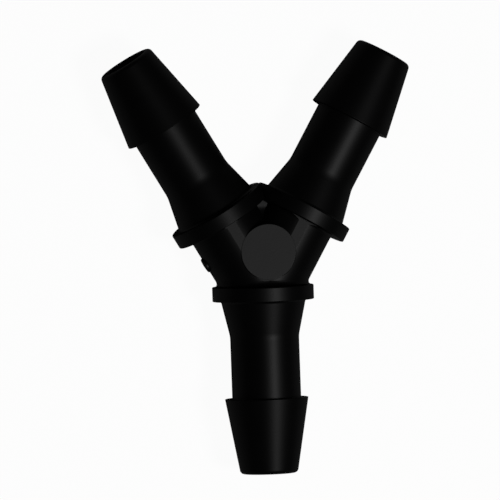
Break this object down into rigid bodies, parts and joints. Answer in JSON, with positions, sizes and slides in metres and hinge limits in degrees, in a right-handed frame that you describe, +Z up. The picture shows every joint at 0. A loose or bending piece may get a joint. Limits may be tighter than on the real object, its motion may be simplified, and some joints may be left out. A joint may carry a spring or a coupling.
{
  "type": "tubing y connector",
  "caption": "Moulded plastic Y connector that joins flexible tubing with barbed, collared stubs on a round hub.",
  "frame": {"origin": "under the middle of the outline, on the surface that the part lies on", "axes": "+Y from the stem towards the two arms, along the plane halfway between them; +Z up, out of the round pad on the hub; the three bores lie in one level plane"},
  "size_m": [0.043, 0.0592, 0.014],
  "materials": {
    "black_nylon": "black moulded nylon with a satin skin"
  },
  "bodies": {
    "root": {"connector_body": "black_nylon"}
  },
  "joints": []
}
